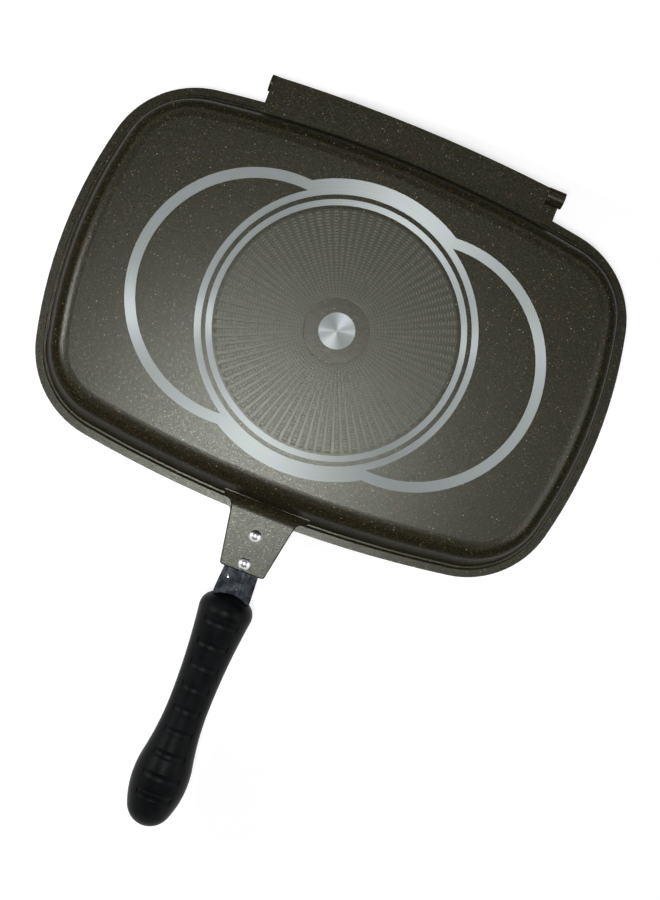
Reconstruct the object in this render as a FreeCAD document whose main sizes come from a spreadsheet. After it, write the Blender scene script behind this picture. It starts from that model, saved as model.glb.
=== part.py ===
import FreeCAD, Part
import Sketcher
import math
import os
import re

# Double sided flip pan, closed: two cast halves on one hinge, each with a riveted strap and a grip.
# Millimetres and degrees. +X runs along the long side, +Y towards the hinge, +Z up.
# The origin is the centre of the lower base, on the plane of its raised rings.
#
# Each half is drawn outwards from the plane where the halves meet: that plane is its z = 0.
# The upper half is then lifted by half_height, and the lower one is turned over about Y as well.

DIMENSIONS = [
    # rim outline: four large arcs joined by four corner arcs, on the lower half
    ("half_length", 180.6),
    ("half_width", 124.6),
    ("long_side_radius", 800.0),
    ("short_side_radius", 300.0),
    ("corner_radius", 60.0),
    # the two castings
    ("half_height", 43.0),
    ("rim_gap", 1.0),
    ("rim_thickness", 6.2),
    ("rim_draft", 15.0),
    ("rim_edge_radius", 0.8),
    ("upper_rim_inset", 4.8),
    ("wall_inset", 8.3),
    ("wall_foot_radius", 0.8),
    ("wall_thickness", 3.2),
    ("draft_angle", 15.0),
    ("base_thickness", 3.6),
    ("base_edge_radius", 13.0),
    # raised rings, centre boss and sunburst on each base
    ("ring_height", 0.6),
    ("middle_circle_radius", 90.0),
    ("side_circle_radius", 77.5),
    ("side_circle_place", 51.5),
    ("band_width", 6.4),
    ("outer_ring_radius", 84.7),
    ("outer_ring_width", 4.1),
    ("inner_ring_radius", 77.9),
    ("inner_ring_width", 3.7),
    ("boss_radius", 11.0),
    ("ray_height", 0.25),
    ("ray_start", 20.0),
    ("ray_end", 72.0),
    ("ray_start_width", 0.6),
    ("ray_end_width", 2.2),
    ("ray_count", 84),
    # lug that carries the strap
    ("lug_length", 34.2),
    ("lug_tip_width", 29.2),
    ("lug_root_width", 42.0),
    ("lug_thickness", 10.0),
    ("lug_corner_radius", 2.0),
    ("lug_edge_radius", 0.8),
    ("lug_flare_radius", 7.0),
    ("lug_saddle_radius", 9.4),
    ("inner_rivet_place", 10.5),
    ("rivet_spacing", 18.6),
    # strap
    ("strap_width", 22.4),
    ("strap_end_width", 24.4),
    ("strap_thickness", 2.0),
    ("strap_level", 3.0),
    ("strap_start", 1.2),
    ("strap_play", 0.15),
    ("strap_shoulder", 10.0),
    ("tang_width", 13.0),
    ("tang_length", 58.0),
    # rivets
    ("rivet_radius", 2.0),
    ("rivet_play", 0.05),
    ("rivet_head_radius", 4.0),
    ("rivet_head_height", 1.9),
    ("rivet_tail_radius", 3.4),
    ("rivet_tail_height", 1.2),
    # grips: nose and shoulder by the pan, waist, then bulb and tail
    ("grip_place", 15.6),
    ("grip_gap", 0.5),
    ("grip_length", 158.0),
    ("grip_nose_radius", 22.0),
    ("grip_shoulder_radius", 17.5),
    ("grip_shoulder_curve", 10.0),
    ("grip_waist_radius", 13.1),
    ("grip_waist_to_bulb", 50.0),
    ("grip_bulb_radius", 18.1),
    ("grip_bulb_to_end", 32.0),
    ("grip_tail_radius", 15.0),
    ("grip_edge_radius", 0.8),
    ("ripple_radius", 7.0),
    ("ripple_depth", 0.5),
    ("ripple_start", 19.5),
    ("ripple_to_end", 22.5),
    ("ripple_count", 9),
    ("ripple_angle", 84.0),
    # screw through the tang and the nut moulded into the grip
    ("grip_screw_place", 44.0),
    ("grip_screw_radius", 2.0),
    ("grip_screw_head_radius", 3.7),
    ("grip_screw_head_height", 2.0),
    ("grip_screw_end", 10.4),
    ("grip_screw_recess", 0.3),
    ("hole_play", 0.2),
    ("thread_play", 0.05),
    ("nut_radius", 3.5),
    ("nut_length", 5.4),
    ("nut_cover", 0.4),
    # magnet, keeper and their screws, in the flat faces of the grips
    ("catch_to_bulb", 8.0),
    ("catch_radius", 7.0),
    ("magnet_thickness", 4.0),
    ("keeper_thickness", 2.0),
    ("catch_recess", 0.1),
    ("catch_play", 0.1),
    ("catch_screw_radius", 1.5),
    ("catch_screw_head_radius", 2.9),
    ("catch_screw_head_height", 1.4),
    ("catch_screw_length", 9.0),
    ("drive_slot_width", 0.8),
    ("drive_slot_depth", 0.7),
    # hinge
    ("hinge_reach", 7.1),
    ("inner_barrel_radius", 3.7),
    ("outer_barrel_radius", 5.3),
    ("pin_radius", 1.8),
    ("pin_play", 0.05),
    ("pin_inset", 0.6),
    ("pin_chamfer", 0.4),
    ("cover_half_length", 92.4),
    ("cover_end_reach", 3.6),
    ("cover_root_inset", 20.0),
    ("cover_flare", 4.0),
    ("cover_bow_radius", 1100.0),
    ("cover_thickness", 2.2),
    ("cover_corner_radius", 1.5),
    ("inner_knuckle", 12.0),
    ("outer_knuckle", 11.2),
    ("knuckle_gap", 0.5),
    ("knuckle_inset", 1.6),
    ("knuckle_overhang", 1.7),
    ("arm_flare_radius", 2.5),
    # seal in the lower rim
    ("seal_inset", 6.1),
    ("seal_width", 2.8),
    ("seal_depth", 2.2),
    ("seal_play", 0.05),
    ("seal_clearance", 0.3),
    ("seal_crown_radius", 1.1),
    # grill bars inside the lower half
    ("bar_height", 1.2),
    ("bar_width", 3.0),
    ("bar_half_length", 80.0),
    ("bar_pitch", 14.0),
    ("bar_count", 19),
    # how far a cut runs past the surface that it opens
    ("overrun", 2.0),
]

document = FreeCAD.newDocument("flip_pan")
sheet = document.addObject("Spreadsheet::Sheet", "dims")
for row, (alias, size) in enumerate(DIMENSIONS, start=1):
    sheet.set("A%d" % row, alias)
    sheet.set("B%d" % row, str(size))
    sheet.setAlias("B%d" % row, alias)
document.recompute()

# Sizes worked out from the sheet, in its own words.
RIM_FACE = "(rim_gap / 2)"
RIM_TOP_INSET = "((rim_thickness - rim_gap / 2) * tan(rim_draft))"
BASE_FACE = "(half_height - ring_height)"
FLOOR_FACE = "(half_height - ring_height - base_thickness)"
OUTER_WALL_INSET = "(wall_inset - (rim_thickness - rim_gap / 2) * tan(draft_angle))"
INNER_WALL_INSET = "(wall_inset - rim_thickness * tan(draft_angle) + wall_thickness / cos(draft_angle))"
FLOOR_EDGE_RADIUS = "(base_edge_radius - wall_thickness)"
INNER_FLOOR_INSET = "(%s + %s * tan(draft_angle))" % (INNER_WALL_INSET, FLOOR_FACE)
HINGE_PLACE = "(half_width + hinge_reach)"
LUG_TIP = "(half_width + lug_length)"
SADDLE_TOP = "(lug_thickness + lug_saddle_radius * (1 - sin(draft_angle)))"
SADDLE_WALL = "(half_width - wall_inset - (%s - rim_thickness) * tan(draft_angle))" % SADDLE_TOP
SADDLE_START = "(%s + lug_saddle_radius * cos(draft_angle))" % SADDLE_WALL
LUG_SLOPE = "((lug_root_width - lug_tip_width) / 2 / (%s - %s))" % (LUG_TIP, SADDLE_START)
OUTER_KNUCKLE_END = "(cover_half_length + knuckle_gap + outer_knuckle)"
HANDLE_PLACE = "(half_width + lug_length + grip_place)"
INNER_RIVET = "(half_width + inner_rivet_place)"
OUTER_RIVET = "(half_width + inner_rivet_place + rivet_spacing)"
COVER_UNDERSIDE = "(rim_thickness - cover_thickness)"
GRIP_FACE = "(grip_gap / 2)"
CATCH_FACE = "(grip_gap / 2 + catch_recess)"
NUT_START = "(strap_level + strap_thickness + strap_play + nut_cover)"
BULB_PLACE = "(grip_length - grip_bulb_to_end)"
WAIST_PLACE = "(%s - grip_waist_to_bulb)" % BULB_PLACE
CATCH_PLACE = "(%s - catch_to_bulb)" % BULB_PLACE
RIPPLE_PITCH = "((grip_length - ripple_start - ripple_to_end) / (ripple_count - 1))"
SHOULDER_X = "(grip_shoulder_radius - grip_shoulder_curve)"
SHOULDER_PLACE = ("(grip_nose_radius - sqrt((grip_nose_radius - grip_shoulder_curve) ^ 2 - %s ^ 2))"
                  % SHOULDER_X)
FRONT_SWEEP = ("(((grip_waist_radius - %s) ^ 2 + (%s - %s) ^ 2 - grip_shoulder_curve ^ 2)"
               " / 2 / (grip_shoulder_radius - grip_waist_radius))"
               % (SHOULDER_X, WAIST_PLACE, SHOULDER_PLACE))
BULB_SWEEP = ("((grip_bulb_radius ^ 2 + (grip_bulb_to_end - grip_tail_radius) ^ 2 - grip_tail_radius ^ 2)"
              " / 2 / (grip_bulb_radius - grip_tail_radius))")
WAIST_DROP = "(grip_waist_radius - grip_bulb_radius + %s)" % BULB_SWEEP
REAR_SWEEP = ("((%s ^ 2 + grip_waist_to_bulb ^ 2 - %s ^ 2) / 2 / (%s - %s))"
              % (WAIST_DROP, BULB_SWEEP, BULB_SWEEP, WAIST_DROP))


def linked(expression):
    """The same expression as other objects write it, with each alias read from the sheet."""
    return re.sub(r"\b([a-z]+(?:_[a-z]+)+|overrun)\b", r"dims.\1", expression)


def amount(expression):
    """What an expression comes to now."""
    return float(sheet.evalExpression(expression))


def drive(thing, **properties):
    """Bind properties of an object to expressions."""
    for name, expression in properties.items():
        thing.setExpression(name, linked(expression))


def new_body(name):
    body = document.addObject("PartDesign::Body", name)
    body.Label = name
    return body


def place(body, rotation, x="0", y="0", z="0"):
    """Turn a body and bind its position to the sheet."""
    body.Placement = FreeCAD.Placement(FreeCAD.Vector(), rotation)
    for axis, expression in (("x", x), ("y", y), ("z", z)):
        body.setExpression(".Placement.Base." + axis, linked(expression))


def new_sketch(body, name, role, offset="0"):
    """A sketch on one of the body's own origin planes, moved along the plane's normal."""
    sketch = body.newObject("Sketcher::SketchObject", name)
    plane = [item for item in body.Origin.OriginFeatures if item.Role == role][0]
    sketch.AttachmentSupport = [(plane, "")]
    sketch.MapMode = "FlatFace"
    sketch.setExpression(".AttachmentOffset.Base.z", linked(offset))
    return sketch


def driven(sketch, kind, *where, expression):
    """A dimension in a sketch that follows the sheet."""
    index = sketch.addConstraint(Sketcher.Constraint(kind, *where, amount(expression)))
    sketch.setExpression("Constraints[%d]" % index, linked(expression))


def fix_point(sketch, item, end, x, y):
    """Hold one end, or the centre (end 3), of an item at a place given by two expressions."""
    if x == "0":
        sketch.addConstraint(Sketcher.Constraint("PointOnObject", item, end, -2))
    else:
        driven(sketch, "DistanceX", -1, 1, item, end, expression=x)
    if y == "0":
        sketch.addConstraint(Sketcher.Constraint("PointOnObject", item, end, -1))
    else:
        driven(sketch, "DistanceY", -1, 1, item, end, expression=y)


def arc_between(start, end, radius, turn):
    """A short arc between two points, curving left (turn 1) or right (turn -1) of their line."""
    chord = end - start
    middle = (start + end) * 0.5
    left = FreeCAD.Vector(-chord.y, chord.x, 0).normalize()
    rise = math.sqrt(max(radius ** 2 - (chord.Length / 2) ** 2, 0))
    centre = middle + left * rise * turn
    first, last = (start, end) if turn > 0 else (end, start)
    circle = Part.Circle(centre, FreeCAD.Vector(0, 0, 1), radius)
    return Part.ArcOfCircle(circle, circle.parameter(first), circle.parameter(last))


def draw(sketch, corners):
    """A closed outline. Each corner is (x, y), or (x, y, radius, turn) where an arc leaves it."""
    points = [FreeCAD.Vector(amount(corner[0]), amount(corner[1]), 0) for corner in corners]
    first = sketch.GeometryCount
    ends = []
    for index, corner in enumerate(corners):
        start = points[index]
        finish = points[(index + 1) % len(points)]
        if len(corner) == 2:
            sketch.addGeometry(Part.LineSegment(start, finish), False)
            ends.append((1, 2))
        else:
            sketch.addGeometry(arc_between(start, finish, amount(corner[2]), corner[3]), False)
            driven(sketch, "Radius", first + index, expression=corner[2])
            ends.append((1, 2) if corner[3] > 0 else (2, 1))
    for index, corner in enumerate(corners):
        following = (index + 1) % len(corners)
        sketch.addConstraint(Sketcher.Constraint(
            "Coincident", first + index, ends[index][1], first + following, ends[following][0]))
        fix_point(sketch, first + index, ends[index][0], corner[0], corner[1])


def draw_circle(sketch, radius, x="0", y="0"):
    centre = FreeCAD.Vector(amount(x), amount(y), 0)
    item = sketch.addGeometry(Part.Circle(centre, FreeCAD.Vector(0, 0, 1), amount(radius)), False)
    fix_point(sketch, item, 3, x, y)
    driven(sketch, "Radius", item, expression=radius)


def draw_rim(sketch, inset):
    """The rim outline, or one that runs inside it by the inset: eight arcs, each tangent to the next."""
    side_centre = amount("half_length - short_side_radius")
    long_centre = amount("half_width - long_side_radius")
    side_radius = amount("short_side_radius - " + inset)
    long_radius = amount("long_side_radius - " + inset)
    corner_radius = amount("corner_radius - " + inset)
    reach_side = side_radius - corner_radius
    reach_long = long_radius - corner_radius
    apart = math.hypot(side_centre, long_centre)
    along = (reach_side ** 2 - reach_long ** 2 + apart ** 2) / (2 * apart)
    across = math.sqrt(reach_side ** 2 - along ** 2)
    towards = FreeCAD.Vector(-side_centre, long_centre, 0) * (1 / apart)
    corner = FreeCAD.Vector(side_centre, 0, 0) + towards * along
    corner += FreeCAD.Vector(-towards.y, towards.x, 0) * across
    side_angle = math.atan2(corner.y, corner.x - side_centre)
    long_angle = math.atan2(corner.y - long_centre, corner.x)
    normal = FreeCAD.Vector(0, 0, 1)
    first = sketch.GeometryCount
    arcs = [
        (side_centre, 0, side_radius, -side_angle, side_angle),
        (corner.x, corner.y, corner_radius, side_angle, long_angle),
        (0, long_centre, long_radius, long_angle, math.pi - long_angle),
        (-corner.x, corner.y, corner_radius, math.pi - long_angle, math.pi - side_angle),
        (-side_centre, 0, side_radius, math.pi - side_angle, math.pi + side_angle),
        (-corner.x, -corner.y, corner_radius, math.pi + side_angle, math.pi + long_angle),
        (0, -long_centre, long_radius, math.pi + long_angle, 2 * math.pi - long_angle),
        (corner.x, -corner.y, corner_radius, -long_angle, -side_angle),
    ]
    for x, y, radius, start, finish in arcs:
        circle = Part.Circle(FreeCAD.Vector(x, y, 0), normal, radius)
        sketch.addGeometry(Part.ArcOfCircle(circle, start, finish), False)
    for index in range(len(arcs)):
        following = first + (index + 1) % len(arcs)
        sketch.addConstraint(Sketcher.Constraint("Tangent", first + index, 2, following, 1))
    for index, x, y in (
        (0, "half_length - short_side_radius", "0"),
        (2, "0", "half_width - long_side_radius"),
        (4, "short_side_radius - half_length", "0"),
        (6, "0", "long_side_radius - half_width"),
    ):
        fix_point(sketch, first + index, 3, x, y)
    driven(sketch, "Radius", first, expression="short_side_radius - " + inset)
    driven(sketch, "Radius", first + 1, expression="corner_radius - " + inset)
    driven(sketch, "Radius", first + 2, expression="long_side_radius - " + inset)
    for index, like in ((4, 0), (6, 2), (3, 1), (5, 1), (7, 1)):
        sketch.addConstraint(Sketcher.Constraint("Equal", first + like, first + index))


def grow(body, kind, name, sketch, **properties):
    """A pad, pocket, revolution or groove on a sketch."""
    feature = body.newObject("PartDesign::" + kind, name)
    feature.Profile = sketch
    drive(feature, **properties)
    return feature


def pad(body, name, sketch, length, **properties):
    return grow(body, "Pad", name, sketch, Length=length, **properties)


def pocket_up(body, name, sketch, length, **properties):
    """A pocket that runs along the sketch's normal."""
    feature = grow(body, "Pocket", name, sketch, Length=length, **properties)
    feature.Reversed = True
    return feature


def pocket_both(body, name, sketch, length):
    """A pocket that runs half its length to each side of its sketch."""
    feature = grow(body, "Pocket", name, sketch, Length=length)
    feature.SideType = "Symmetric"
    return feature


def stop_on_fault():
    """Rebuild the document, and stop if any object in it could not be built."""
    document.recompute()
    faults = [thing.FullName for thing in document.Objects
              if "Invalid" in thing.State or "Error" in thing.State]
    if faults:
        raise RuntimeError("not built: " + ", ".join(faults))


def edge_at(feature, x, y, z):
    """The name of the edge nearest to a point given by three expressions."""
    stop_on_fault()
    spot = Part.Vertex(amount(x), amount(y), amount(z))
    edges = feature.Shape.Edges
    gaps = [edge.distToShape(spot)[0] for edge in edges]
    return "Edge%d" % (gaps.index(min(gaps)) + 1)


def fillet(body, name, feature, spots, radius):
    """Round the edges nearest to the given points, with the edges that run on from them."""
    names = sorted({edge_at(feature, *spot) for spot in spots})
    rounded = body.newObject("PartDesign::Fillet", name)
    rounded.Base = (feature, names)
    drive(rounded, Radius=radius)
    document.recompute()
    return rounded


UPPER = {
    "name": "upper",
    "rim_inset": "upper_rim_inset",
    "pan_turn": FreeCAD.Rotation(FreeCAD.Vector(0, 0, 1), 0),
    "handle_turn": FreeCAD.Rotation(FreeCAD.Vector(0, 0, 1), 180),
    "knuckles": {
        "left": ("outer", "-(cover_half_length + knuckle_overhang)"),
        "right": ("inner", "(cover_half_length - knuckle_inset - inner_knuckle)"),
    },
}
LOWER = {
    "name": "lower",
    "rim_inset": "0",
    "pan_turn": FreeCAD.Rotation(FreeCAD.Vector(0, 1, 0), 180),
    "handle_turn": FreeCAD.Rotation(FreeCAD.Vector(1, 0, 0), 180),
    "knuckles": {
        "left": ("inner", "(cover_half_length + knuckle_overhang - outer_knuckle - knuckle_inset"
                          " - knuckle_gap - inner_knuckle)"),
        "right": ("outer", "-" + OUTER_KNUCKLE_END),
    },
}
# How far the arms of a screw's cross recess reach, as a share of its head's radius.
DRIVE_REACH_SHARE = 0.55


def rectangle(low_x, low_y, high_x, high_y):
    return [(low_x, low_y), (high_x, low_y), (high_x, high_y), (low_x, high_y)]


def turned(body, name, outline):
    """A solid of revolution about the body's own Z."""
    sketch = new_sketch(body, name + "_outline", "XZ_Plane")
    draw(sketch, outline)
    feature = grow(body, "Revolution", name, sketch)
    feature.ReferenceAxis = (sketch, ["V_Axis"])
    return feature


def turned_cut(body, name, outline, y):
    """A turned recess about an axis along Z at a place along the grip."""
    sketch = new_sketch(body, name + "_outline", "XZ_Plane", "-(%s)" % y)
    draw(sketch, outline)
    feature = grow(body, "Groove", name, sketch)
    feature.ReferenceAxis = (sketch, ["V_Axis"])
    return feature


# The castings

def add_shell(body, half):
    """Flange, drafted wall and base, still solid inside."""
    rim = new_sketch(body, "rim_outline", "XY_Plane", RIM_FACE)
    draw_rim(rim, half["rim_inset"])
    flange = pad(body, "flange", rim, "rim_thickness - rim_gap / 2", TaperAngle="-rim_draft")
    front = "-(half_width - %s - %s)" % (half["rim_inset"], RIM_TOP_INSET)
    fillet(body, "flange_edges", flange, [("0", front, "rim_thickness")], "rim_edge_radius")
    wall = new_sketch(body, "wall_outline", "XY_Plane", RIM_FACE)
    draw_rim(wall, OUTER_WALL_INSET)
    block = pad(body, "wall", wall, BASE_FACE + " - rim_gap / 2", TaperAngle="-draft_angle")
    base_front = "-(half_width - wall_inset - (%s - rim_thickness) * tan(draft_angle))" % BASE_FACE
    block = fillet(body, "base_edge", block, [("0", base_front, BASE_FACE)], "base_edge_radius")
    foot_front = "-(half_width - wall_inset)"
    fillet(body, "wall_foot", block, [("0", foot_front, "rim_thickness")], "wall_foot_radius")


def add_lug(body, half):
    """The lug: a flared block with a saddle that runs up into the wall."""
    rim_front = "(half_width - %s - %s - rim_edge_radius)" % (half["rim_inset"], RIM_TOP_INSET)
    lean = "sqrt(1 + %s ^ 2)" % LUG_SLOPE
    reach = "(lug_flare_radius * (%s - %s))" % (lean, LUG_SLOPE)
    corner = "(lug_root_width / 2 + %s * (%s - %s))" % (LUG_SLOPE, SADDLE_START, rim_front)
    flare_x = "(%s - %s * %s / %s)" % (corner, reach, LUG_SLOPE, lean)
    flare_y = "(%s + %s / %s)" % (rim_front, reach, lean)
    outer = "(%s + %s)" % (corner, reach)
    root = "-(half_width - cover_root_inset)"
    outline = new_sketch(body, "lug_outline", "XY_Plane", RIM_FACE)
    draw(outline, [
        ("-lug_tip_width / 2", "-" + LUG_TIP),
        ("lug_tip_width / 2", "-" + LUG_TIP),
        (flare_x, "-" + flare_y, "lug_flare_radius", -1),
        (outer, "-" + rim_front),
        (outer, root),
        ("-" + outer, root),
        ("-" + outer, "-" + rim_front, "lug_flare_radius", -1),
        ("-" + flare_x, "-" + flare_y),
    ])
    block = pad(body, "lug", outline, SADDLE_TOP + " - rim_gap / 2")
    saddle = new_sketch(body, "saddle_outline", "YZ_Plane")
    draw(saddle, [
        ("-(%s + overrun)" % LUG_TIP, "lug_thickness"),
        ("-" + SADDLE_START, "lug_thickness", "lug_saddle_radius", 1),
        ("-" + SADDLE_WALL, SADDLE_TOP),
        ("-" + SADDLE_WALL, SADDLE_TOP + " + overrun"),
        ("-(%s + overrun)" % LUG_TIP, SADDLE_TOP + " + overrun"),
    ])
    block = pocket_both(body, "saddle", saddle, "2 * lug_root_width")
    tip_corners = [("%slug_tip_width / 2" % sign, "-" + LUG_TIP, "lug_thickness / 2") for sign in ("", "-")]
    block = fillet(body, "lug_corners", block, tip_corners, "lug_corner_radius")
    fillet(body, "lug_edges", block, [("0", "-" + LUG_TIP, "lug_thickness")], "lug_edge_radius")


def rim_back(inset, x):
    """Where the top of the rim's back edge lies at a place along X, just inside its rounded edge."""
    reach = "(long_side_radius - %s)" % inset
    return "(half_width - %s - %s - rim_edge_radius - %s + sqrt(%s ^ 2 - %s ^ 2))" % (
        inset, RIM_TOP_INSET, reach, reach, x)


def add_barrel(body, side, kind, start):
    barrel = new_sketch(body, side + "_barrel_outline", "YZ_Plane", start)
    draw_circle(barrel, kind + "_barrel_radius", HINGE_PLACE)
    pad(body, side + "_barrel", barrel, kind + "_knuckle")


def add_upper_hinge(body):
    """The hinge cover, flared at both ends, with one knuckle at its end and one hung under it."""
    outer = "(cover_half_length + cover_flare)"
    flare_end = rim_back("upper_rim_inset", outer)
    root = "half_width - cover_root_inset"
    end = HINGE_PLACE + " + cover_end_reach"
    outline = new_sketch(body, "cover_outline", "XY_Plane", COVER_UNDERSIDE)
    draw(outline, [
        ("-" + outer, root),
        (outer, root),
        (outer, flare_end),
        ("cover_half_length", flare_end + " + cover_flare"),
        ("cover_half_length", end, "cover_bow_radius", 1),
        ("-cover_half_length", end),
        ("-cover_half_length", flare_end + " + cover_flare"),
        ("-" + outer, flare_end),
    ])
    cover = pad(body, "hinge_cover", outline, "cover_thickness")
    corners = [("%scover_half_length" % sign, end, COVER_UNDERSIDE) for sign in ("", "-")]
    fillet(body, "cover_corners", cover, corners, "cover_corner_radius")
    for side, (kind, start) in UPPER["knuckles"].items():
        if kind == "inner":
            web = new_sketch(body, side + "_web_outline", "YZ_Plane", start)
            web_top = "rim_thickness - cover_thickness / 2"
            draw(web, rectangle(HINGE_PLACE + " - inner_barrel_radius", "0",
                                HINGE_PLACE + " + inner_barrel_radius", web_top))
            pad(body, side + "_web", web, "inner_knuckle")
        add_barrel(body, side, kind, start)


def add_lower_hinge(body):
    """Two knuckles, each on an arm that flares out from the flange."""
    for side, (kind, start) in LOWER["knuckles"].items():
        low = start + (" + knuckle_overhang" if kind == "outer" else "")
        high = "(%s + %s_knuckle)" % (start, kind)
        rim = rim_back("0", "(%s + arm_flare_radius)" % OUTER_KNUCKLE_END)
        root = "half_width - cover_root_inset"
        arm = new_sketch(body, side + "_arm_outline", "XY_Plane", RIM_FACE)
        draw(arm, [
            (low + " - arm_flare_radius", root),
            (high + " + arm_flare_radius", root),
            (high + " + arm_flare_radius", rim, "arm_flare_radius", -1),
            (high, rim + " + arm_flare_radius"),
            (high, HINGE_PLACE),
            (low, HINGE_PLACE),
            (low, rim + " + arm_flare_radius", "arm_flare_radius", -1),
            (low + " - arm_flare_radius", rim),
        ])
        pad(body, side + "_arm", arm, kind + "_barrel_radius - rim_gap / 2")
        add_barrel(body, side, kind, start)


def cut_hinge_bore(body, radius):
    bore = new_sketch(body, "hinge_bore_outline", "YZ_Plane")
    draw_circle(bore, radius, HINGE_PLACE)
    pocket_both(body, "hinge_bore", bore, "2 * (%s + overrun)" % OUTER_KNUCKLE_END)


def cut_inside(body):
    """The cooking space, with a rounded floor edge."""
    mouth = new_sketch(body, "mouth_outline", "XY_Plane")
    draw_rim(mouth, INNER_WALL_INSET)
    space = pocket_up(body, "cooking_space", mouth, FLOOR_FACE, TaperAngle="-draft_angle")
    floor_front = "-(half_width - %s)" % INNER_FLOOR_INSET
    fillet(body, "floor_edge", space, [("0", floor_front, FLOOR_FACE)], FLOOR_EDGE_RADIUS)


def cut_strap_seat(body):
    """The slot under the lug for the strap, and the two rivet holes."""
    slot = new_sketch(body, "strap_slot_outline", "XY_Plane")
    draw(slot, rectangle("-(strap_width / 2 + strap_play)", "-(%s + overrun)" % LUG_TIP,
                         "strap_width / 2 + strap_play", "-(half_width + strap_start - strap_play)"))
    pocket_up(body, "strap_slot", slot, "strap_level + strap_thickness")
    holes = new_sketch(body, "rivet_holes_outline", "XY_Plane")
    for spot in (INNER_RIVET, OUTER_RIVET):
        draw_circle(holes, "rivet_radius + rivet_play", "0", "-" + spot)
    pocket_both(body, "rivet_holes", holes, "2 * (lug_thickness + overrun)")


def circles_outline(shrink):
    """The outside of three overlapping circles, drawn in by a given amount."""
    middle = "(middle_circle_radius - %s)" % shrink
    side = "(side_circle_radius - %s)" % shrink
    meet_x = "((%s ^ 2 - %s ^ 2 + side_circle_place ^ 2) / 2 / side_circle_place)" % (middle, side)
    meet_y = "sqrt(%s ^ 2 - %s ^ 2)" % (middle, meet_x)
    far = "(side_circle_place + %s)" % side
    return [
        (meet_x, "-" + meet_y, side, 1),
        (far, "0", side, 1),
        (meet_x, meet_y, middle, 1),
        ("-" + meet_x, meet_y, side, 1),
        ("-" + far, "0", side, 1),
        ("-" + meet_x, "-" + meet_y, middle, 1),
    ]


def add_base_pattern(body):
    """Raised rings, centre boss and a sunburst of shallow rays."""
    band = new_sketch(body, "band_outline", "XY_Plane", BASE_FACE)
    draw(band, circles_outline("0"))
    draw(band, circles_outline("band_width"))
    pad(body, "band", band, "ring_height")
    rings = new_sketch(body, "rings_outline", "XY_Plane", BASE_FACE)
    draw_circle(rings, "outer_ring_radius")
    draw_circle(rings, "outer_ring_radius - outer_ring_width")
    draw_circle(rings, "inner_ring_radius")
    draw_circle(rings, "inner_ring_radius - inner_ring_width")
    draw_circle(rings, "boss_radius")
    pad(body, "rings", rings, "ring_height")
    ray = new_sketch(body, "ray_outline", "XY_Plane", BASE_FACE)
    draw(ray, [
        ("ray_start", "-ray_start_width / 2"),
        ("ray_end", "-ray_end_width / 2"),
        ("ray_end", "ray_end_width / 2"),
        ("ray_start", "ray_start_width / 2"),
    ])
    first = pad(body, "ray", ray, "ray_height")
    rays = body.newObject("PartDesign::PolarPattern", "rays")
    rays.Originals = [first]
    rays.Axis = (ray, ["N_Axis"])
    drive(rays, Occurrences="ray_count")
    body.Tip = rays


def cut_seal_groove(body):
    groove = new_sketch(body, "seal_groove_outline", "XY_Plane", RIM_FACE)
    draw_rim(groove, "seal_inset")
    draw_rim(groove, "(seal_inset + seal_width)")
    pocket_up(body, "seal_groove", groove, "seal_depth")


def add_grill_bars(body):
    """Straight bars across the cooking floor."""
    level = FLOOR_FACE + " + base_thickness / 2"
    bar = new_sketch(body, "bar_outline", "XY_Plane", level)
    first_x = "-(bar_count - 1) / 2 * bar_pitch"
    draw(bar, rectangle(first_x + " - bar_width / 2", "-bar_half_length",
                        first_x + " + bar_width / 2", "bar_half_length"))
    first = pad(body, "bar", bar, "base_thickness / 2 + bar_height")
    first.Reversed = True
    bars = body.newObject("PartDesign::LinearPattern", "bars")
    bars.Originals = [first]
    bars.Direction = (bar, ["H_Axis"])
    drive(bars, Length="(bar_count - 1) * bar_pitch", Occurrences="bar_count")
    body.Tip = bars


def make_pan(half):
    body = new_body(half["name"] + "_pan")
    place(body, half["pan_turn"], z="half_height")
    add_shell(body, half)
    add_lug(body, half)
    if half is UPPER:
        add_upper_hinge(body)
    else:
        add_lower_hinge(body)
    cut_inside(body)
    cut_strap_seat(body)
    if half is UPPER:
        cut_hinge_bore(body, "pin_radius + pin_play")
    else:
        cut_hinge_bore(body, "pin_radius")
        cut_seal_groove(body)
        add_grill_bars(body)
    add_base_pattern(body)


def make_seal():
    """Silicone ring in the lower rim's groove, standing up to just short of the upper rim."""
    body = new_body("rim_seal")
    place(body, LOWER["pan_turn"], z="half_height")
    crown = "-(rim_gap / 2 - seal_clearance)"
    outline = new_sketch(body, "seal_outline", "XY_Plane", crown)
    draw_rim(outline, "(seal_inset + seal_play)")
    draw_rim(outline, "(seal_inset + seal_width - seal_play)")
    ring = pad(body, "ring", outline, "seal_depth + rim_gap - seal_clearance")
    edges = [
        ("0", "-(half_width - seal_inset - seal_play)", crown),
        ("0", "-(half_width - seal_inset - seal_width + seal_play)", crown),
    ]
    fillet(body, "crown", ring, edges, "seal_crown_radius")


# Straps, rivets and hinge pins

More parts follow.
